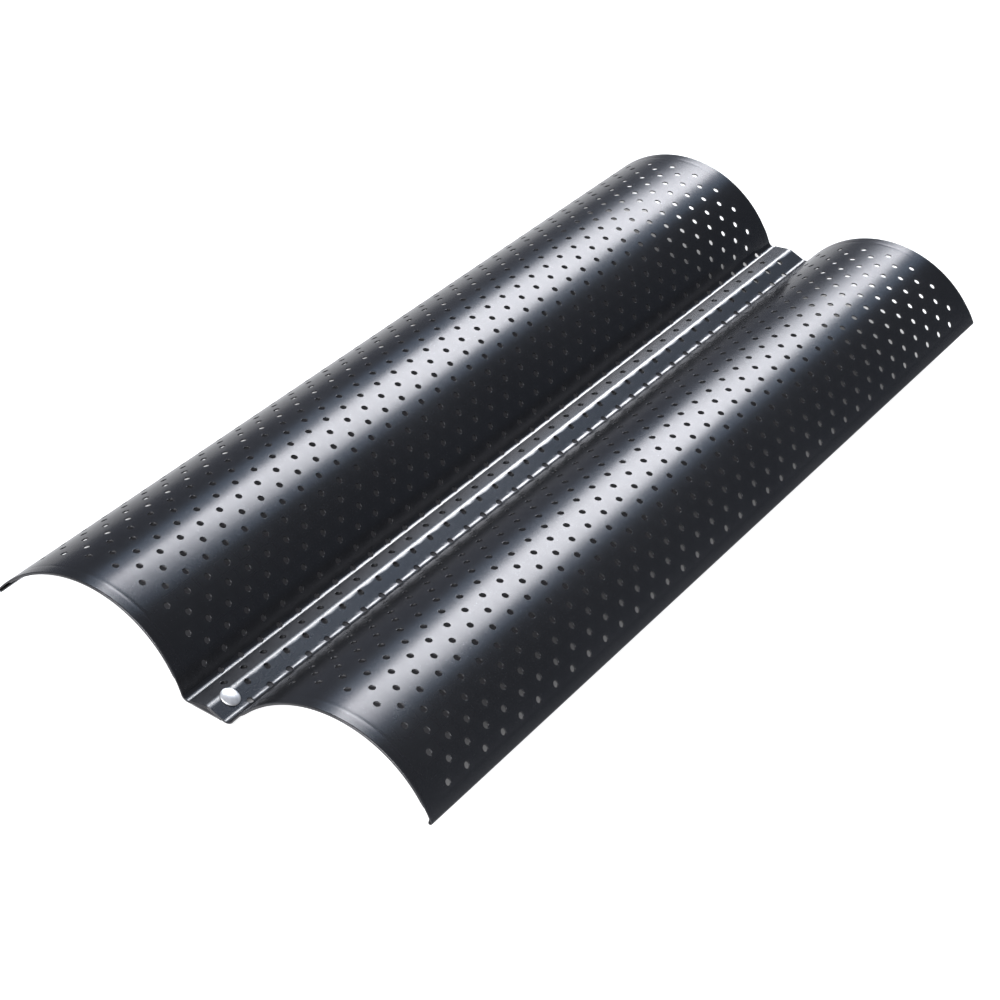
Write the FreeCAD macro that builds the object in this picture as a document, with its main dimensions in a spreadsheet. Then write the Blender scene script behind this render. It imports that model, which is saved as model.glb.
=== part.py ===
import FreeCAD, Part
import math
import os
from FreeCAD import Rotation, Vector

# Two-channel perforated baguette tray, lying upside down on its central lap.
# +Z is up, +Y runs along the loaves, and Z = 0 is the surface that the tray rests on.

SIZES = [
    ("tray_length", 380.0),       # along the loaves
    ("sheet_gauge", 0.5),         # coated steel sheet
    ("arch_radius", 41.35),       # middle of the sheet, on each channel
    ("arch_offset", 45.8),        # from the ridge of the lap to a channel's centre line
    ("inner_wall_angle", 61.5),   # slope of the channel's wall at the lap
    ("outer_wall_angle", 57.4),   # slope of the channel's wall at the long outer edge
    ("left_lap_angle", 12.0),     # slope of the lap's shallow ridge, on its left
    ("right_lap_angle", 18.0),    # slope of the lap's shallow ridge, on its right
    ("fold_radius", 2.8),         # middle of the sheet, at the folds beside the lap
    ("ridge_radius", 3.0),        # middle of the upper sheet, along the ridge
    ("upper_flange", 6.4),        # how far the right sheet runs past the ridge, on top
    ("lower_flange", 5.6),        # how far the left sheet runs past the ridge, underneath
    ("hem_radius", 0.5),          # middle of the sheet, round the long outer edge
    ("hem_width", 4.0),           # folded-in leg of the long hem
    ("hem_mitre", 5.0),           # cut off the leg's free edge at each end, slanting to its fold
    ("end_band_width", 4.5),      # doubled border across each end
    ("hole_diameter", 2.1),
    ("hole_pitch", 10.0),         # along a row
    ("row_spacing", 5.2),         # across the sheet, from row to row
    ("row_shift", 1.7),           # from the ridge to the row beside it
    ("hole_margin", 13.1),        # from the near end to the first hole
    ("rivet_setback", 8.7),       # from the near end
    ("rivet_shift", 2.2),         # from the ridge, down the slope of the lap
    ("rivet_shank_diameter", 2.6),
    ("rivet_head_diameter", 6.6),
    ("rivet_head_height", 1.1),
    ("rivet_head_rim", 0.3),
    ("rivet_tail_diameter", 4.0),
    ("rivet_tail_height", 0.25),
]
HOLES_PER_ROW = 36
OUTERMOST_ROW = 17

doc = FreeCAD.newDocument("BaguetteTray")
sheet = doc.addObject("Spreadsheet::Sheet", "Sizes")
for row, (alias, value) in enumerate(SIZES, start=1):
    sheet.set(f"A{row}", alias)
    sheet.set(f"B{row}", str(value))
    sheet.setAlias(f"B{row}", alias)
doc.recompute()


def size(alias):
    return float(sheet.get(alias))


def sin(angle):
    return math.sin(math.radians(angle))


def cos(angle):
    return math.cos(math.radians(angle))


def arc_length(radius, turn):
    return radius * math.radians(turn)


def normal(heading):
    """Unit vector to the left of a heading, in the tray's cross-section."""
    return Vector(-sin(heading), cos(heading), 0)


GAUGE = size("sheet_gauge")
LEFT_LAP = size("left_lap_angle")
RIGHT_LAP = size("right_lap_angle")
INNER = size("inner_wall_angle")
OUTER = size("outer_wall_angle")
ARCH = size("arch_radius")
FOLD = size("fold_radius")
UPPER_RIDGE = size("ridge_radius")
LOWER_RIDGE = UPPER_RIDGE - GAUGE
HEM = size("hem_radius")


def slope_length(lap, ridge):
    """Straight run of the sheet between the ridge's bend and the fold beside the channel."""
    reach = size("arch_offset") - (ARCH + FOLD) * sin(INNER) - (FOLD + ridge) * sin(lap)
    return reach / cos(lap)


# The two sheets nest round one ridge axis, at the height that puts the right fold on Z = 0.
RIDGE_AXIS = (GAUGE / 2 + slope_length(RIGHT_LAP, UPPER_RIDGE) * sin(RIGHT_LAP)
              + FOLD * (1 - cos(RIGHT_LAP)) - UPPER_RIDGE * cos(RIGHT_LAP))


def walk(start, heading, moves):
    """Follow the middle of the sheet across the tray, as a list of straight and bent runs.

    A move is (length, turn). A turn of 0 is straight, and a positive turn bends to the left.
    """
    runs = []
    for length, turn in moves:
        run = {"start": start, "heading": heading, "turn": turn, "length": length}
        if turn:
            radius = length / math.radians(turn)
            centre = start + normal(heading) * radius
            run["centre"] = centre
            run["radius"] = radius
            run["middle"] = centre - normal(heading + turn / 2) * radius
            run["end"] = centre - normal(heading + turn) * radius
        else:
            run["end"] = start + Vector(cos(heading), sin(heading), 0) * length
        runs.append(run)
        start = run["end"]
        heading += turn
    return runs


def trough_runs(flange, flange_lap, own_lap, ridge):
    """Middle of a trough's sheet, from its flange's free edge over the ridge to the long hem."""
    flat = flange - arc_length(ridge, flange_lap)
    crest = Vector(0, RIDGE_AXIS, 0) + normal(flange_lap) * ridge
    start = crest - Vector(cos(flange_lap), sin(flange_lap), 0) * flat
    ridge_turn = flange_lap + own_lap
    leg = size("hem_width")
    moves = [
        (flat, 0),
        (arc_length(ridge, ridge_turn), -ridge_turn),
        (slope_length(own_lap, ridge), 0),
        (arc_length(FOLD, own_lap + INNER), own_lap + INNER),
        (arc_length(ARCH, INNER + OUTER), -(INNER + OUTER)),
        (arc_length(HEM, 180), -180),
        (leg, math.degrees(leg / (ARCH - 2 * HEM))),
    ]
    return walk(start, flange_lap, moves)


def point_along(runs, distance):
    """Place and heading on the middle of the sheet, at a distance from the flange's free edge."""
    for run in runs:
        if distance <= run["length"]:
            break
        distance -= run["length"]
    if run["turn"]:
        heading = run["heading"] + run["turn"] * distance / run["length"]
        return run["centre"] - normal(heading) * run["radius"], heading
    return run["start"] + (run["end"] - run["start"]) * (distance / run["length"]), run["heading"]


def side_edges(runs, offset, place):
    """The runs moved sideways by an offset, as sketch geometry."""
    edges = []
    for run in runs:
        last = run["heading"] + run["turn"]
        start = place(run["start"] + normal(run["heading"]) * offset)
        end = place(run["end"] + normal(last) * offset)
        if run["turn"]:
            middle = place(run["middle"] + normal(run["heading"] + run["turn"] / 2) * offset)
            edges.append(Part.Arc(start, middle, end))
        else:
            edges.append(Part.LineSegment(start, end))
    return edges


def strip_outline(runs, low, high, place):
    """Closed outline of a strip of sheet, between two offsets from its middle."""
    first = runs[0]
    last = runs[-1]
    near = normal(first["heading"])
    far = normal(last["heading"] + last["turn"])
    outline = side_edges(runs, low, place)
    outline.append(Part.LineSegment(place(last["end"] + far * low), place(last["end"] + far * high)))
    outline += side_edges(runs, high, place)
    outline.append(Part.LineSegment(place(first["start"] + near * high), place(first["start"] + near * low)))
    return outline


def origin_plane(body, role):
    return next(plane for plane in body.Origin.OriginFeatures if plane.Role == role)


def section_sketch(body, name, geometry):
    """Sketch of a cross-section, in the body's XZ plane."""
    sketch = body.newObject("Sketcher::SketchObject", name)
    sketch.AttachmentSupport = [(origin_plane(body, "XZ_Plane"), "")]
    sketch.MapMode = "FlatFace"
    sketch.addGeometry(geometry, False)
    return sketch


def right_side(point):
    return point


def left_side(point):
    return Vector(-point.x, point.y, 0)


def end_band_runs(runs):
    """The stretch of the channel's wall that the doubled border covers at each end."""
    arch = runs[4]
    gap = math.degrees((size("hem_width") + 1.5) / ARCH)
    turn = INNER + OUTER - 2 * gap
    start, heading = point_along([arch], arc_length(ARCH, gap))
    return walk(start, heading, [(arc_length(ARCH, turn), -turn)])


def trough_body(name, runs, place):
    """Formed trough with hemmed long edge and doubled end borders, not yet perforated."""
    body = doc.addObject("PartDesign::Body", f"{name}Body")
    profile = section_sketch(body, f"{name}Profile", strip_outline(runs, -GAUGE / 2, GAUGE / 2, place))
    pad = body.newObject("PartDesign::Pad", f"{name}Sheet")
    pad.Profile = profile
    pad.SideType = "Symmetric"
    pad.setExpression("Length", "Sizes.tray_length")
    doc.recompute()

    band = strip_outline(end_band_runs(runs), -GAUGE * 1.5, -GAUGE / 2, place)
    for end, direction in (("Near", 1), ("Far", -1)):
        sketch = section_sketch(body, f"{name}{end}BandProfile", band)
        offset = f"{direction} * (Sizes.tray_length / 2 - Sizes.end_band_width)"
        sketch.setExpression("AttachmentOffset.Base.z", offset)
        border = body.newObject("PartDesign::Pad", f"{name}{end}Band")
        border.Profile = sketch
        border.Reversed = direction < 0
        border.setExpression("Length", "Sizes.end_band_width")
        doc.recompute()
    return body


def drill(runs, distance, along, diameter, side):
    """Cylinder square through the sheet, long enough to clear both sheets of the lap."""
    depth = 6 * GAUGE
    point, heading = point_along(runs, distance)
    direction = Vector(side * normal(heading).x, 0, normal(heading).y)
    centre = Vector(side * point.x, along - size("tray_length") / 2, point.y)
    return Part.makeCylinder(diameter / 2, depth, centre - direction * (depth / 2), direction)


def drill_rows(runs, flange, rows, side):
    """Cylinders for some rows of the staggered perforations, counted from the ridge."""
    tools = []
    for index in rows:
        distance = flange + side * (size("row_shift") + index * size("row_spacing"))
        stagger = 0 if index % 2 else size("hole_pitch") / 2
        for step in range(HOLES_PER_ROW):
            along = size("hole_margin") + stagger + step * size("hole_pitch")
            tools.append(drill(runs, distance, along, size("hole_diameter"), side))
    return tools


def mitre(runs, side, end):
    """Prism that cuts a hem's leg back to a slant at one end, which keeps the corner thin."""
    leg = runs[-1]
    width = size("hem_width")
    cut = size("hem_mitre")
    spare = GAUGE
    stretch = spare * width / cut
    along_leg = (leg["end"] - leg["start"]) / leg["length"]
    out = normal(leg["heading"] + leg["turn"] / 2)
    corners = [(-stretch, -spare), (width + stretch, cut + spare), (width + stretch, -spare)]
    points = []
    for across, inward in corners:
        place = leg["start"] + along_leg * across - out * GAUGE
        points.append(Vector(side * place.x, end * (size("tray_length") / 2 - inward), place.y))
    face = Part.Face(Part.makePolygon(points + points[:1]))
    return face.extrude(Vector(side * out.x, 0, out.y) * (2 * GAUGE))


def perforated(name, label, body, tools):
    """A formed trough with its holes cut through and its hem mitred."""
    drills = doc.addObject("Part::Feature", f"{name}Drills")
    drills.Shape = Part.makeCompound(tools)
    cut = doc.addObject("Part::Cut", f"{name}Trough")
    cut.Base = body
    cut.Tool = drills
    cut.Label = label
    return cut


UPPER = size("upper_flange")
LOWER = size("lower_flange")
right_runs = trough_runs(UPPER, LEFT_LAP, RIGHT_LAP, UPPER_RIDGE)
left_runs = trough_runs(LOWER, RIGHT_LAP, LEFT_LAP, LOWER_RIDGE)

# The rows through the lap and the rivet hole go through both sheets at once.
lap_tools = drill_rows(right_runs, UPPER, (-1, 0), 1)
lap_tools.append(drill(right_runs, UPPER + size("rivet_shift"), size("rivet_setback"),
                       size("rivet_shank_diameter"), 1))
right_tools = lap_tools + drill_rows(right_runs, UPPER, range(1, OUTERMOST_ROW + 1), 1)
right_tools += [mitre(right_runs, 1, end) for end in (-1, 1)]
left_tools = lap_tools + drill_rows(left_runs, LOWER, range(-OUTERMOST_ROW, -1), -1)
left_tools += [mitre(left_runs, -1, end) for end in (-1, 1)]
right_trough = perforated("Right", "right_trough", trough_body("Right", right_runs, right_side), right_tools)
left_trough = perforated("Left", "left_trough", trough_body("Left", left_runs, left_side), left_tools)


def rivet():
    """Domed rivet through both flanges, square to the slope of the lap."""
    shank = size("rivet_shank_diameter") / 2
    head = size("rivet_head_diameter") / 2
    tail = size("rivet_tail_diameter") / 2
    grip = 2 * GAUGE
    rim = grip + size("rivet_head_rim")
    top = grip + size("rivet_head_height")
    foot = -size("rivet_tail_height")
    dome = top - rim
    dome_radius = (head * head + dome * dome) / (2 * dome)
    half = math.asin(head / dome_radius) / 2
    dome_middle = Vector(dome_radius * math.sin(half), top - dome_radius * (1 - math.cos(half)), 0)

    corners = [(0, foot), (tail, foot), (tail, 0), (shank, 0), (shank, grip), (head, grip), (head, rim)]
    points = [Vector(x, y, 0) for x, y in corners]
    crown = Vector(0, top, 0)
    outline = [Part.LineSegment(first, second) for first, second in zip(points, points[1:])]
    outline.append(Part.Arc(points[-1], dome_middle, crown))
    outline.append(Part.LineSegment(crown, points[0]))

    body = doc.addObject("PartDesign::Body", "Rivet")
    sketch = section_sketch(body, "RivetProfile", outline)
    turned = body.newObject("PartDesign::Revolution", "RivetTurned")
    turned.Profile = sketch
    turned.ReferenceAxis = (sketch, ["V_Axis"])
    turned.Angle = 360
    point, heading = point_along(right_runs, UPPER + size("rivet_shift"))
    axis = Vector(normal(heading).x, 0, normal(heading).y)
    under = point - normal(heading) * (GAUGE * 1.5)
    base = Vector(under.x, size("rivet_setback") - size("tray_length") / 2, under.y)
    body.Placement = FreeCAD.Placement(base, Rotation(Vector(0, 0, 1), axis))
    body.Label = "lap_rivet"
    return body


nodes = [left_trough, right_trough, rivet()]
doc.recompute()

for item in doc.Objects:
    if "Invalid" in item.State or "Error" in item.State:
        raise RuntimeError(f"{item.Name} failed: {item.State}")
for node in nodes:
    if node.Shape.isNull() or not node.Shape.isValid() or len(node.Shape.Solids) != 1:
        raise RuntimeError(f"{node.Label} isn't one valid solid")

os.makedirs("parts", exist_ok=True)
for node in nodes:
    node.Shape.exportStep(f"parts/{node.Label}.step")
    print(node.Label, round(node.Shape.Volume, 1), node.Shape.BoundBox)
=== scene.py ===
import math

import bpy
import numpy as np
from mathutils import Matrix, Vector


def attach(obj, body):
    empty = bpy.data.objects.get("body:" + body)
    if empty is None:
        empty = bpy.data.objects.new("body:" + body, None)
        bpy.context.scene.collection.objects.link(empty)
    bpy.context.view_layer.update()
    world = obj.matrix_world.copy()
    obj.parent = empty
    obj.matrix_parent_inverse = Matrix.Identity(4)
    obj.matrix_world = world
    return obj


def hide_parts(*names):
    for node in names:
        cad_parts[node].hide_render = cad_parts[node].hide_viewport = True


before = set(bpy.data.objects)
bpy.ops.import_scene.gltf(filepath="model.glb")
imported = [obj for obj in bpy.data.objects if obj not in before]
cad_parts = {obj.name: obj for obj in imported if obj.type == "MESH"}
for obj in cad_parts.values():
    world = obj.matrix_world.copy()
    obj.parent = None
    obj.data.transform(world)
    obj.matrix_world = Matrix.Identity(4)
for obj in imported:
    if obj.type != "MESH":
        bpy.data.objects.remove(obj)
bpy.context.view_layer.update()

MM = 0.001

# ---------------------------------------------------------------- sizes, in millimetres, as in the CAD model
LENGTH = 380.0
GAUGE = 0.5
ARCH = 41.35
OFFSET = 45.8
INNER = 61.5
OUTER = 57.4
LEFT_LAP = 12.0
RIGHT_LAP = 18.0
FOLD = 2.8
UPPER_RIDGE = 3.0
LOWER_RIDGE = UPPER_RIDGE - GAUGE
UPPER_FLANGE = 6.4
LOWER_FLANGE = 5.6
HEM = 0.5
HEM_LEG = 4.0
HEM_MITRE = 5.0
END_BAND = 4.5
BAND_GAP = 1.5
BAND_STEP = 0.25
HOLE_RADIUS = 1.05
HOLE_LIP = 0.16      # rounding of a hole's rim
PITCH = 10.0
ROW_SPACING = 5.2
ROW_SHIFT = 1.7
HOLE_MARGIN = 13.1
OUTERMOST_ROW = 17
HOLES_PER_ROW = 36
RIVET_SETBACK = 8.7
RIVET_SHIFT = 2.2
RIVET_HEAD = 3.3
RIVET_RISE = 1.1
RIVET_RIM = 0.3
RIVET_SHANK = 1.3
RIVET_TAIL = 2.0
RIVET_TAIL_RISE = 0.25
RIVET_SEGMENTS = 48
DOME_STEPS = 10


def sin(angle):
    return math.sin(math.radians(angle))


def cos(angle):
    return math.cos(math.radians(angle))


def normal(heading):
    """Unit vector to the left of a heading, in the cross-section."""
    return np.array([-sin(heading), cos(heading)])


def arc_length(radius, turn):
    return radius * math.radians(turn)


def slope_length(lap, ridge):
    """Straight run of the sheet between the ridge's bend and the fold beside the channel."""
    return (OFFSET - (ARCH + FOLD) * sin(INNER) - (FOLD + ridge) * sin(lap)) / cos(lap)


RIDGE_AXIS = (GAUGE / 2 + slope_length(RIGHT_LAP, UPPER_RIDGE) * sin(RIGHT_LAP)
              + FOLD * (1 - cos(RIGHT_LAP)) - UPPER_RIDGE * cos(RIGHT_LAP))


class Path:
    """Middle of one trough's sheet across the tray, from its flange's free edge to the hem's leg."""

    def __init__(self, flange, flange_lap, own_lap, ridge):
        flat = flange - arc_length(ridge, flange_lap)
        ridge_turn = flange_lap + own_lap
        moves = [
            (flat, 0),
            (arc_length(ridge, ridge_turn), -ridge_turn),
            (slope_length(own_lap, ridge), 0),
            (arc_length(FOLD, own_lap + INNER), own_lap + INNER),
            (arc_length(ARCH, INNER + OUTER), -(INNER + OUTER)),
            (arc_length(HEM, 180), -180),
            (HEM_LEG, math.degrees(HEM_LEG / (ARCH - 2 * HEM))),
        ]
        start = np.array([0.0, RIDGE_AXIS]) + normal(flange_lap) * ridge + normal(flange_lap + 90) * flat
        heading = flange_lap
        self.flange = flange
        self.runs = []
        for length, turn in moves:
            if turn:
                radius = length / math.radians(turn)
                centre = start + normal(heading) * radius
                end = centre - normal(heading + turn) * radius
            else:
                radius, centre = 0.0, None
                end = start - normal(heading + 90) * length
            self.runs.append((length, turn, start, heading, centre, radius))
            start = end
            heading += turn
        self.ends = np.cumsum([run[0] for run in self.runs])
        self.fold_end, self.arch_end, self.hem_end, self.leg_end = self.ends[3:7]
        self.hem_line = self.arch_end - HEM_LEG

    def point(self, distance):
        """Place and heading on the middle of the sheet, at a distance from the flange's free edge."""
        index = min(int(np.searchsorted(self.ends, distance - 1e-9)), len(self.runs) - 1)
        length, turn, start, heading, centre, radius = self.runs[index]
        along = distance - (self.ends[index] - length)
        if turn:
            here = heading + turn * along / length
            return centre - normal(here) * radius, here
        return start - normal(heading + 90) * along, heading


RIGHT_PATH = Path(UPPER_FLANGE, LEFT_LAP, RIGHT_LAP, UPPER_RIDGE)
LEFT_PATH = Path(LOWER_FLANGE, RIGHT_LAP, LEFT_LAP, LOWER_RIDGE)


# ---------------------------------------------------------------- the sheet's surface
SEAM_DEPTH = 0.03
SEAM_WIDTH = 0.7
SEAM_CORNER = 5.0
SEAM_FADE = 3.0


def seam_depth(path, distance, along):
    """Shallow groove that shows on the outside where the hem and the end borders are folded in."""
    from_end = min(along, LENGTH - along)
    across = path.hem_line - distance
    inward = from_end - END_BAND
    if across < SEAM_CORNER and inward < SEAM_CORNER:
        gap = SEAM_CORNER - math.hypot(SEAM_CORNER - across, SEAM_CORNER - inward)
    else:
        gap = min(across, inward)
    depth = SEAM_DEPTH * math.exp(-(gap / SEAM_WIDTH) ** 2)
    fade = min(max((distance - path.fold_end) / SEAM_FADE, 0.0), 1.0)
    return depth * fade * fade * (3 - 2 * fade)


class Trough:
    """One formed sheet as a closed mesh, welded by its place on the sheet."""

    def __init__(self, side, path):
        self.side = side
        self.path = path
        self.points = []
        self.normals = []
        self.faces = []
        self.index = {}

    def vertex(self, distance, along, offset, tilt, key):
        """A point at an offset from the middle of the sheet, with its normal.

        tilt is the normal's share across the sheet, out of it, and along the tray. The hem's leg
        is drawn in towards its free edge, which mitres it at both ends.
        """
        if key in self.index:
            return self.index[key]
        middle, heading = self.path.point(distance)
        out = normal(heading)
        across = np.array([out[1], -out[0]])
        place = middle + out * offset
        facing = across * tilt[0] + out * tilt[1]
        slant = max(distance - self.path.hem_end, 0.0) / HEM_LEG * HEM_MITRE
        along += (LENGTH / 2 - along) / (LENGTH / 2) * slant
        self.points.append((self.side * place[0] * MM, (along - LENGTH / 2) * MM, place[1] * MM))
        self.normals.append((self.side * facing[0], tilt[2], facing[1]))
        self.index[key] = len(self.points) - 1
        return self.index[key]

    def outer(self, distance, along):
        """Point on the outer side, with the groove beside the hems pressed in."""
        step = 0.05
        depth = seam_depth(self.path, distance, along)
        slope_across = (seam_depth(self.path, distance + step, along) - depth) / step
        slope_along = (seam_depth(self.path, distance, along + step) - depth) / step
        tilt = np.array([slope_across, 1.0, slope_along])
        tilt /= np.linalg.norm(tilt)
        key = ("o", round(distance, 4), round(along, 4))
        return self.vertex(distance, along, GAUGE / 2 - depth, tuple(tilt), key)

    def inner(self, distance, along):
        key = ("i", round(distance, 4), round(along, 4))
        return self.vertex(distance, along, -GAUGE / 2, (0.0, -1.0, 0.0), key)

    def face(self, *corners):
        corners = list(dict.fromkeys(corners))
        if len(corners) < 3:
            return
        self.faces.append(tuple(corners) if self.side > 0 else tuple(reversed(corners)))

    def both(self, first, second, third, fourth):
        """The same quad on the outer and the inner side, corners given as (distance, along)."""
        corners = (first, second, third, fourth)
        self.face(*(self.outer(*corner) for corner in corners))
        self.face(*(self.inner(*corner) for corner in reversed(corners)))


TILE_ACROSS = 4
TILE_ALONG = 6
FINE = PITCH / TILE_ALONG
TILES_START = HOLE_MARGIN - PITCH / 2
TILES_END = TILES_START + PITCH * HOLES_PER_ROW + PITCH / 2
FINE_ALONG = [TILES_START + FINE * step for step in range(round((TILES_END - TILES_START) / FINE) + 1)]


def plain_grid(trough, distances, alongs):
    """Sheet without holes, both sides."""
    for low, high in zip(distances, distances[1:]):
        for near, far in zip(alongs, alongs[1:]):
            trough.both((low, near), (high, near), (high, far), (low, far))


def hole_tile(trough, distances, centre, along):
    """A rectangle of sheet, one pitch long, with a hole through it."""
    near = along - PITCH / 2
    alongs = [near + FINE * step for step in range(TILE_ALONG + 1)]
    border = [(distance, alongs[0]) for distance in distances[:-1]]
    border += [(distances[-1], step) for step in alongs[:-1]]
    border += [(distance, alongs[-1]) for distance in reversed(distances[1:])]
    border += [(distances[0], step) for step in reversed(alongs[1:])]
    count = len(border)
    # The corners of the rectangle meet the rings at their diagonals.
    wide = len(distances) - 1
    spread = []
    for turn, steps in enumerate((wide, TILE_ALONG, wide, TILE_ALONG)):
        spread += [math.pi / 2 * (turn + step / steps) - math.pi * 3 / 4 for step in range(steps)]
    rings = []
    levels = [
        (HOLE_RADIUS + HOLE_LIP, GAUGE / 2, 0.0, 1.0),
        (HOLE_RADIUS, GAUGE / 2 - HOLE_LIP, -1.0, 0.0),
        (HOLE_RADIUS, -GAUGE / 2 + HOLE_LIP * 0.5, -1.0, 0.0),
        (HOLE_RADIUS + HOLE_LIP * 0.5, -GAUGE / 2, 0.0, -1.0),
    ]
    for level, (radius, offset, radial, out) in enumerate(levels):
        ring = []
        for step, angle in enumerate(spread):
            across, forward = math.cos(angle), math.sin(angle)
            key = ("h", round(centre, 3), round(along, 3), level, step)
            ring.append(trough.vertex(centre + radius * across, along + radius * forward, offset,
                                      (radial * across, out, radial * forward), key))
        rings.append(ring)
    outer_border = [trough.outer(*place) for place in border]
    inner_border = [trough.inner(*place) for place in border]
    loops = [outer_border] + rings + [inner_border]
    for upper, lower in zip(loops, loops[1:]):
        for step in range(count):
            following = (step + 1) % count
            trough.face(upper[step], upper[following], lower[following], lower[step])


# Lines across each end, from the last tile to the rounded edge, closest together beside the groove.
END_ALONGS = [6.4, 5.7, 5.2, 4.9, 4.7, 4.5, 4.3, 4.1, 3.8, 3.2, 2.4, 1.6, 0.9]
ROUND_STEPS = 8


def band_mask(path, distance):
    """1 where the end border is doubled, 0 at the lap and at the long hem."""
    rise = min(max((distance - path.fold_end - HEM_LEG - BAND_GAP) / BAND_STEP, 0.0), 1.0)
    fall = min(max((path.hem_line - BAND_GAP - distance) / BAND_STEP, 0.0), 1.0)
    return min(rise, fall)


def end_profile(trough, distance, far):
    """Points from the outer side round the end's folded edge to the inner side."""
    def place(along):
        return LENGTH - along if far else along

    facing = 1.0 if far else -1.0
    alongs = [LENGTH - TILES_END if far else TILES_START] + END_ALONGS
    low = -GAUGE / 2 - GAUGE * band_mask(trough.path, distance)
    radius = (GAUGE / 2 - low) / 2
    centre = (GAUGE / 2 + low) / 2
    profile = [trough.outer(distance, place(along)) for along in alongs]
    for step in range(ROUND_STEPS + 1):
        angle = math.pi * step / ROUND_STEPS
        key = ("e", far, round(distance, 4), step)
        profile.append(trough.vertex(distance, place(radius - radius * math.sin(angle)),
                                     centre + radius * math.cos(angle),
                                     (0.0, math.cos(angle), facing * math.sin(angle)), key))
    for along in reversed(alongs):
        if along > END_BAND - 0.1:
            profile.append(trough.inner(distance, place(along)))
        else:
            key = ("b", far, round(distance, 4), round(along, 4))
            profile.append(trough.vertex(distance, place(along), low, (0.0, -1.0, 0.0), key))
    return profile


def close_end(trough, distances, far):
    """The end's border and folded edge, between the last tiles and the end of the tray."""
    profiles = [end_profile(trough, distance, far) for distance in distances]
    for low, high in zip(profiles, profiles[1:]):
        for step in range(len(low) - 1):
            corners = (low[step], low[step + 1], high[step + 1], high[step])
            trough.face(*(reversed(corners) if far else corners))
    for profile, flip in ((profiles[0], far), (profiles[-1], not far)):
        count = len(profile)
        for step in range(count // 2):
            corners = (profile[step], profile[count - 1 - step], profile[count - 2 - step], profile[step + 1])
            trough.face(*(reversed(corners) if flip else corners))


def close_edge(trough, distance, alongs, far):
    """The sheared edge of the sheet, along a line of constant distance."""
    for near, beyond in zip(alongs, alongs[1:]):
        corners = (trough.inner(distance, near), trough.outer(distance, near),
                   trough.outer(distance, beyond), trough.inner(distance, beyond))
        trough.face(*(reversed(corners) if far else corners))


def spaced(low, high, count):
    """Evenly spaced values, both ends included."""
    return [low + (high - low) * step / count for step in range(count + 1)]


# Rows beside the folds, whose tiles are finer across.
FOLD_ROWS = (1, -2)

# Tiles and plain strips across each sheet, measured from the ridge. The lower sheet's bend is
# tighter, so the holes that go through both sheets are a little nearer its crest.
RIGHT_ROWS = {index: ROW_SHIFT + index * ROW_SPACING for index in range(-1, OUTERMOST_ROW + 1)}
RIGHT_BOUNDS = {-1: (-UPPER_FLANGE, -0.9), 0: (0.42, 4.3), 1: (4.3, 8.6), 2: (10.3, 14.7),
                OUTERMOST_ROW: (RIGHT_ROWS[OUTERMOST_ROW] - ROW_SPACING / 2, 91.4)}
LEFT_ROWS = {index: -ROW_SHIFT - index * ROW_SPACING for index in range(-OUTERMOST_ROW, -1)}
LEFT_ROWS[-1] = ROW_SPACING - ROW_SHIFT - arc_length(GAUGE, LEFT_LAP)
LEFT_ROWS[0] = arc_length(GAUGE, RIGHT_LAP) - ROW_SHIFT
LEFT_BOUNDS = {0: (-3.2, -0.3), -1: (0.8, 6.1), -2: (7.3, 10.1),
               -OUTERMOST_ROW: (LEFT_ROWS[-OUTERMOST_ROW] - ROW_SPACING / 2, 89.3)}
RIGHT_PLAINS = [spaced(-0.9, 0.42, 8), spaced(8.6, 10.3, 5), [91.4]]
LEFT_PLAINS = [spaced(-LOWER_FLANGE, -3.2, 2), spaced(-0.3, 0.8, 7), spaced(6.1, 7.3, 4),
               spaced(10.1, 11.3, 3), spaced(89.3, 91.3, 3)]

# Lines on both sides of the groove beside the hem, measured from it.
HEM_GAPS = (-0.24, -0.1, 0.0, 0.12, 0.26, 0.45, 0.8, 1.4, 2.2, 3.1, HEM_LEG)


def build_trough(side, path, rows, bounds, plains):
    """The whole sheet of one trough, laid out across from the free edge of its flange."""
    trough = Trough(side, path)
    strips = [[path.flange + sigma for sigma in plain] for plain in plains]
    strips.append([strips[-1][-1]] + [path.hem_line + gap for gap in HEM_GAPS])
    strips.append(spaced(path.arch_end, path.hem_end, 8))
    strips.append(spaced(path.hem_end, path.leg_end, 4))
    close_edge(trough, 0.0, FINE_ALONG, False)
    every = set()
    for index, sigma in rows.items():
        low, high = bounds.get(index, (sigma - ROW_SPACING / 2, sigma + ROW_SPACING / 2))
        steps = TILE_ACROSS + 2 if index in FOLD_ROWS else TILE_ACROSS
        distances = spaced(path.flange + low, path.flange + high, steps)
        every.update(distances)
        start = HOLE_MARGIN + (0 if index % 2 else PITCH / 2)
        for step in range(HOLES_PER_ROW):
            hole_tile(trough, distances, sigma + path.flange, start + PITCH * step)
        if index % 2:
            filler = [along for along in FINE_ALONG if along > start + PITCH * (HOLES_PER_ROW - 0.5) - 0.01]
        else:
            filler = [along for along in FINE_ALONG if along < start - PITCH / 2 + 0.01]
        plain_grid(trough, distances, filler)
    for distances in strips:
        every.update(distances)
        plain_grid(trough, distances, FINE_ALONG)
    close_edge(trough, path.leg_end, FINE_ALONG, True)
    ordered = []
    for distance in sorted(every):
        if not ordered or distance - ordered[-1] > 1e-6:
            ordered.append(distance)
    close_end(trough, ordered, False)
    close_end(trough, ordered, True)
    return trough


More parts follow.
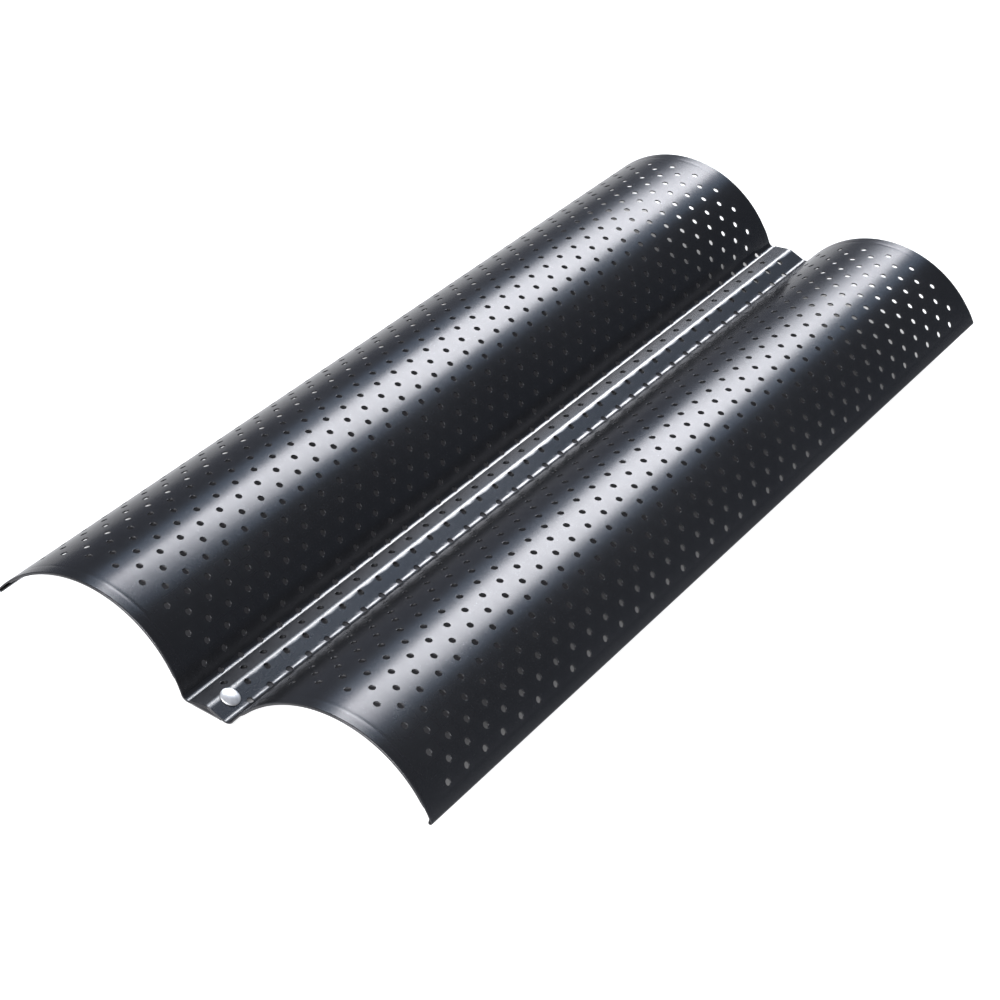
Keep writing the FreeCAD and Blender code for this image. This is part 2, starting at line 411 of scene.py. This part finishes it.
def mesh_object(name, points, faces, normals=None):
    mesh = bpy.data.meshes.new(name)
    mesh.from_pydata([tuple(point) for point in points], [], [tuple(face) for face in faces])
    mesh.validate()
    mesh.polygons.foreach_set("use_smooth", [True] * len(mesh.polygons))
    if normals is not None:
        lengths = np.linalg.norm(np.array(normals), axis=1, keepdims=True)
        mesh.normals_split_custom_set_from_vertices((np.array(normals) / lengths).tolist())
    obj = bpy.data.objects.new(name, mesh)
    bpy.context.scene.collection.objects.link(obj)
    return obj


# ---------------------------------------------------------------- materials
def new_material(name):
    material = bpy.data.materials.new(name)
    material.use_nodes = True
    nodes, links = material.node_tree.nodes, material.node_tree.links
    return material, nodes, links, nodes["Principled BSDF"]


def noise(nodes, links, coordinates, scale, detail=2.0, roughness=0.5):
    node = nodes.new("ShaderNodeTexNoise")
    node.inputs["Scale"].default_value = scale
    node.inputs["Detail"].default_value = detail
    node.inputs["Roughness"].default_value = roughness
    links.new(coordinates, node.inputs["Vector"])
    return node


def remap(nodes, links, value, low, high, out_low, out_high):
    node = nodes.new("ShaderNodeMapRange")
    node.inputs["From Min"].default_value = low
    node.inputs["From Max"].default_value = high
    node.inputs["To Min"].default_value = out_low
    node.inputs["To Max"].default_value = out_high
    links.new(value, node.inputs["Value"])
    return node.outputs["Result"]


def math_node(nodes, links, operation, first, second=0.0):
    node = nodes.new("ShaderNodeMath")
    node.operation = operation
    for socket, value in ((node.inputs[0], first), (node.inputs[1], second)):
        if isinstance(value, float):
            socket.default_value = value
        else:
            links.new(value, socket)
    return node.outputs[0]


def mix_colour(nodes, links, factor, first, second):
    node = nodes.new("ShaderNodeMix")
    node.data_type = "RGBA"
    for socket, value in ((node.inputs[6], first), (node.inputs[7], second)):
        if isinstance(value, tuple):
            socket.default_value = value
        else:
            links.new(value, socket)
    links.new(factor, node.inputs[0])
    return node.outputs[2]


def coating_material():
    """Charcoal non-stick coating: fine orange peel, pale flecks, thin worn coating on the rims, and a painted
    highlight along the ridge and folds.
    """
    material, nodes, links, shader = new_material("nonstick_coating")
    place = nodes.new("ShaderNodeTexCoord").outputs["Object"]
    cloud = noise(nodes, links, place, 14.0, 3.0)
    fleck = noise(nodes, links, place, 2600.0, 1.0)
    peel = noise(nodes, links, place, 900.0, 2.0, 0.55)
    ripple = noise(nodes, links, place, 45.0, 2.0)

    base = mix_colour(nodes, links, remap(nodes, links, cloud.outputs["Fac"], 0.35, 0.65, 0.0, 1.0),
                      (0.048, 0.048, 0.051, 1.0), (0.053, 0.053, 0.056, 1.0))
    flecked = mix_colour(nodes, links, remap(nodes, links, fleck.outputs["Fac"], 0.68, 0.78, 0.0, 0.5),
                         base, (0.15, 0.155, 0.165, 1.0))
    wear_and_sheen = nodes.new("ShaderNodeAttribute")
    wear_and_sheen.attribute_name = "wear_and_sheen"
    # Worn rims and ends, and the painted highlight along the ridge and fold, broken up by the peel.
    patchy = math_node(nodes, links, "MULTIPLY", wear_and_sheen.outputs["Fac"],
                       remap(nodes, links, peel.outputs["Fac"], 0.3, 0.7, 0.3, 0.6))
    # Paler colour, and less metal below, for the worn rims and the painted bend highlight.
    colour = mix_colour(nodes, links, patchy, flecked, (0.48, 0.475, 0.47, 1.0))
    links.new(colour, shader.inputs["Base Color"])
    links.new(remap(nodes, links, patchy, 0.0, 0.5, 0.7, 0.0), shader.inputs["Metallic"])
    links.new(remap(nodes, links, cloud.outputs["Fac"], 0.3, 0.7, 0.22, 0.27), shader.inputs["Roughness"])
    shader.inputs["IOR"].default_value = 1.5
    shader.inputs["Specular Tint"].default_value = (0.45, 0.45, 0.46, 1.0)

    fine = nodes.new("ShaderNodeBump")
    fine.inputs["Strength"].default_value = 0.07
    fine.inputs["Distance"].default_value = 0.00008
    links.new(peel.outputs["Fac"], fine.inputs["Height"])
    broad = nodes.new("ShaderNodeBump")
    broad.inputs["Strength"].default_value = 0.07
    broad.inputs["Distance"].default_value = 0.0004
    links.new(ripple.outputs["Fac"], broad.inputs["Height"])
    links.new(broad.outputs["Normal"], fine.inputs["Normal"])
    links.new(fine.outputs["Normal"], shader.inputs["Normal"])
    return material


def rivet_material():
    """Bright aluminium with faint turned scratches."""
    material, nodes, links, shader = new_material("rivet_metal")
    place = nodes.new("ShaderNodeTexCoord").outputs["Object"]
    cloud = noise(nodes, links, place, 600.0, 3.0)
    scratch = noise(nodes, links, place, 4000.0, 1.0)
    colour = mix_colour(nodes, links, remap(nodes, links, cloud.outputs["Fac"], 0.35, 0.65, 0.0, 1.0),
                        (0.80, 0.80, 0.82, 1.0), (0.90, 0.90, 0.91, 1.0))
    links.new(colour, shader.inputs["Base Color"])
    shader.inputs["Metallic"].default_value = 0.75
    links.new(remap(nodes, links, cloud.outputs["Fac"], 0.3, 0.7, 0.38, 0.48), shader.inputs["Roughness"])
    bump = nodes.new("ShaderNodeBump")
    bump.inputs["Strength"].default_value = 0.15
    bump.inputs["Distance"].default_value = 0.00003
    links.new(scratch.outputs["Fac"], bump.inputs["Height"])
    links.new(bump.outputs["Normal"], shader.inputs["Normal"])
    return material


# The floor's painted light and shade: the painted lit opening under an arch, the way the painted light
# slants in at the near end, and where the painted shade starts and is full, in metres from the tray's middle.
ARCH_CROWN = RIGHT_PATH.point(RIGHT_PATH.fold_end + arc_length(ARCH, INNER))[0]
ARCH_CENTRE = ARCH_CROWN[1] - ARCH
LIT_RADIUS = ARCH - GAUGE * 1.5
SLANT = Vector((-0.37464, 0.73152, -0.56967))
SIDE_SHADE = (0.079, 0.074)
RIGHT_WALL_SHADE = (0.079, 0.045)


def floor_material():
    """Glowing pale floor with deep shade painted into its colour and glow beneath the tray.

    At the near end a lit patch is painted in under each arch, as if light slanted in there, so the
    lit patch is the arch's own shape laid over along SLANT. Towards the far end the painted shade
    fades in, and it is painted paler under the right channel's outer wall.
    """
    material, nodes, links, shader = new_material("studio_white_painted_shade")
    split = nodes.new("ShaderNodeSeparateXYZ")
    links.new(nodes.new("ShaderNodeTexCoord").outputs["Object"], split.inputs[0])
    across, along = split.outputs["X"], split.outputs["Y"]

    def combine(operation, first, second=0.0):
        return math_node(nodes, links, operation, first, second)

    inward = combine("ADD", along, LENGTH / 2 * MM)
    height = combine("MULTIPLY", inward, -SLANT.z / SLANT.y)
    drift = combine("MULTIPLY", inward, -SLANT.x / SLANT.y)
    aside = combine("SUBTRACT", combine("ABSOLUTE", combine("ADD", across, drift)), OFFSET * MM)
    above = combine("SUBTRACT", height, ARCH_CENTRE * MM)
    squares = combine("ADD", combine("MULTIPLY", aside, aside), combine("MULTIPLY", above, above))
    radius = combine("SQRT", squares)
    # Painted light: the lit patch under each arch at the near end, fading into the painted shade.
    beyond_arch = remap(nodes, links, radius, LIT_RADIUS * MM, (LIT_RADIUS + 5) * MM, 0.0, 1.0)
    near = combine("MULTIPLY", beyond_arch, remap(nodes, links, inward, 0.0, 0.001, 0.0, 1.0))
    # Painted shade fading in over the last 60 mm at the far end.
    far = remap(nodes, links, inward, (LENGTH - 2) * MM, (LENGTH - 62) * MM, 0.0, 1.0)
    sides = remap(nodes, links, combine("ABSOLUTE", across), *SIDE_SHADE, 0.0, 1.0)
    # Painted shade made paler towards the right channel's outer wall.
    right_wall = remap(nodes, links, across, *RIGHT_WALL_SHADE, 0.4, 1.0)
    # Painted shade beneath the tray: 1 where it is full, 0 on the open floor.
    painted_shade = combine("MULTIPLY", near, combine("MULTIPLY", far, combine("MULTIPLY", sides, right_wall)))
    light = combine("POWER", combine("SUBTRACT", 1.0, painted_shade), 3.0)

    # The painted shade darkens both the floor's colour and its glow.
    links.new(mix_colour(nodes, links, light, (0.06, 0.06, 0.065, 1.0), (0.5, 0.5, 0.5, 1.0)),
              shader.inputs["Base Color"])
    links.new(mix_colour(nodes, links, light, (0.02, 0.02, 0.022, 1.0), (0.95, 0.95, 0.95, 1.0)),
              shader.inputs["Emission Color"])
    shader.inputs["Roughness"].default_value = 0.9
    shader.inputs["Specular IOR Level"].default_value = 0.0
    shader.inputs["Emission Strength"].default_value = 1.0
    return material


COATING = coating_material()
RIVET_METAL = rivet_material()


# ---------------------------------------------------------------- the two troughs
RIM_WEAR = 0.07
BORE_WEAR = 0.02
END_WEAR = 0.05
FOLD_CREASE = 7.3


def painted_bend_highlight(sigma):
    """Painted highlight along the ridge and the fold beside it: a paler, less metallic coating there."""
    ridge = math.exp(-(sigma / 0.55) ** 2)
    fold = 0.8 * math.exp(-((sigma - FOLD_CREASE) / 0.45) ** 2)
    return ridge + fold


def make_trough(name, trough, node):
    """A trough's object, with its worn rims and ends and its painted bend highlight set by where each point
    lies on the sheet.
    """
    obj = mesh_object(name, trough.points, trough.faces, trough.normals)
    wear_and_sheen = obj.data.attributes.new("wear_and_sheen", "FLOAT", "POINT")
    values = np.zeros(len(trough.points))
    for key, index in trough.index.items():
        if key[0] == "h":
            values[index] = RIM_WEAR if key[3] == 1 else BORE_WEAR
        elif key[0] == "e":
            values[index] = END_WEAR
        elif key[0] == "o":
            # Painted highlight along the ridge and fold.
            values[index] = painted_bend_highlight(key[1] - trough.path.flange)
    wear_and_sheen.data.foreach_set("value", values)
    obj.data.materials.append(COATING)
    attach(obj, "root")
    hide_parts(node)


make_trough("right_trough_sheet",
            build_trough(1, RIGHT_PATH, RIGHT_ROWS, RIGHT_BOUNDS, RIGHT_PLAINS), "right_trough")
make_trough("left_trough_sheet",
            build_trough(-1, LEFT_PATH, LEFT_ROWS, LEFT_BOUNDS, LEFT_PLAINS), "left_trough")


# ---------------------------------------------------------------- the rivet
def build_rivet():
    """The rivet's profile of (radius, height), turned from the tail's centre to the head's crown."""
    grip = 2 * GAUGE
    foot = -RIVET_TAIL_RISE
    profile = [(0.0, foot), (RIVET_TAIL - 0.35, foot), (RIVET_TAIL - 0.1, foot + 0.05)]
    profile += [(RIVET_TAIL, foot + 0.15), (RIVET_TAIL, 0.0), (RIVET_SHANK, 0.0), (RIVET_SHANK, grip)]
    profile += [(RIVET_HEAD - 0.08, grip), (RIVET_HEAD, grip + 0.1)]
    dome = RIVET_RISE - RIVET_RIM
    radius = (RIVET_HEAD ** 2 + dome ** 2) / (2 * dome)
    limit = math.asin(RIVET_HEAD / radius)
    for step in range(DOME_STEPS + 1):
        angle = limit * (1 - step / DOME_STEPS)
        profile.append((radius * math.sin(angle), grip + RIVET_RISE - radius * (1 - math.cos(angle))))
    middle, heading = RIGHT_PATH.point(UPPER_FLANGE + RIVET_SHIFT)
    out = normal(heading)
    axis = Vector((out[0], 0.0, out[1]))
    across = Vector((0.0, 1.0, 0.0)).cross(axis).normalized()
    along = axis.cross(across)
    base = Vector((middle[0], RIVET_SETBACK - LENGTH / 2, middle[1])) - axis * (GAUGE * 1.5)
    points, faces, rings = [], [], []
    for radius, height in profile:
        centre = base + axis * height
        if radius < 1e-6:
            points.append(centre * MM)
            rings.append([len(points) - 1] * RIVET_SEGMENTS)
            continue
        ring = []
        for step in range(RIVET_SEGMENTS):
            angle = 2 * math.pi * step / RIVET_SEGMENTS
            points.append((centre + (across * math.cos(angle) + along * math.sin(angle)) * radius) * MM)
            ring.append(len(points) - 1)
        rings.append(ring)
    for lower, upper in zip(rings, rings[1:]):
        for step in range(RIVET_SEGMENTS):
            following = (step + 1) % RIVET_SEGMENTS
            corners = list(dict.fromkeys((lower[step], lower[following], upper[following], upper[step])))
            if len(corners) > 2:
                faces.append(corners)
    return points, faces


rivet_points, rivet_faces = build_rivet()
rivet = mesh_object("lap_rivet_metal", rivet_points, rivet_faces)
rivet.data.materials.append(RIVET_METAL)
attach(rivet, "root")
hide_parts("lap_rivet")


# ---------------------------------------------------------------- stage, light and camera
def plane(name, centre, size, material):
    """A square sheet, facing up."""
    half = size / 2
    signs = ((-1, -1), (1, -1), (1, 1), (-1, 1))
    corners = [(centre[0] + half * x, centre[1] + half * y, centre[2]) for x, y in signs]
    obj = mesh_object(name, corners, [(0, 1, 2, 3)])
    obj.data.materials.append(material)
    return obj


floor = plane("studio_floor", (0.0, 0.0, -0.00005), 12.0, floor_material())

LIGHT_TARGET = Vector((0.0, 0.0, 0.01))


def softbox(name, direction, distance, width, height, power, colour):
    """Rectangular light that faces the tray from a direction."""
    light = bpy.data.lights.new(name, "AREA")
    light.shape = "RECTANGLE"
    light.size = width
    light.size_y = height
    light.energy = power
    light.color = colour
    obj = bpy.data.objects.new(name, light)
    way = Vector(direction).normalized()
    obj.location = LIGHT_TARGET + way * distance
    obj.rotation_euler = (-way).to_track_quat("-Z", "Y").to_euler()
    bpy.context.scene.collection.objects.link(obj)


softbox("back_softbox", (-0.311, 0.745, 0.591), 2.0, 0.74, 0.88, 33.0, (1.0, 0.985, 0.975))
softbox("cool_glow", (-0.30, 0.73, 0.61), 2.2, 1.5, 1.5, 12.0, (0.48, 0.70, 1.0))
softbox("front_fill", (0.0, -0.85, 0.53), 3.0, 2.5, 1.2, 110.0, (1.0, 1.0, 1.0))


def studio_world():
    """Dim cool surroundings, brighter along the horizon, towards the left and in front."""
    world = bpy.data.worlds.new("studio")
    world.use_nodes = True
    nodes, links = world.node_tree.nodes, world.node_tree.links
    split = nodes.new("ShaderNodeSeparateXYZ")
    links.new(nodes.new("ShaderNodeTexCoord").outputs["Generated"], split.inputs[0])
    rise = remap(nodes, links, split.outputs["Z"], 0.0, 0.55, 1.0, 0.0)
    left = remap(nodes, links, split.outputs["X"], 0.1, -0.7, 0.0, 1.0)
    low = mix_colour(nodes, links, left, (0.15, 0.185, 0.25, 1.0), (0.37, 0.41, 0.53, 1.0))
    behind = mix_colour(nodes, links, rise, (0.042, 0.055, 0.086, 1.0), low)
    in_front = mix_colour(nodes, links, rise, (0.25, 0.28, 0.34, 1.0), (0.85, 0.88, 0.95, 1.0))
    facing = remap(nodes, links, split.outputs["Y"], 0.0, -0.6, 0.0, 1.0)
    colour = mix_colour(nodes, links, facing, behind, in_front)
    background = nodes["Background"]
    links.new(colour, background.inputs["Color"])
    background.inputs["Strength"].default_value = 1.0
    return world


bpy.context.scene.world = studio_world()

# The photographed view: looking down on the riveted end from the right.
CAMERA_PLACE = (0.35657, -0.71970, 0.53327)
CAMERA_RIGHT = Vector((0.83480, 0.53348, 0.13605))
CAMERA_DOWN = Vector((0.40343, -0.42459, -0.81053))
CAMERA_FORWARD = Vector((-0.37464, 0.73152, -0.56967))
camera_data = bpy.data.cameras.new("camera")
camera_data.sensor_width = 36.0
camera_data.lens = 99.61
camera_data.clip_start = 0.05
camera = bpy.data.objects.new("camera", camera_data)
turn = Matrix((CAMERA_RIGHT, -CAMERA_DOWN, -CAMERA_FORWARD)).transposed()
camera.matrix_world = Matrix.Translation(CAMERA_PLACE) @ turn.to_4x4()
bpy.context.scene.collection.objects.link(camera)
bpy.context.scene.camera = camera
bpy.context.scene.view_settings.view_transform = "Standard"
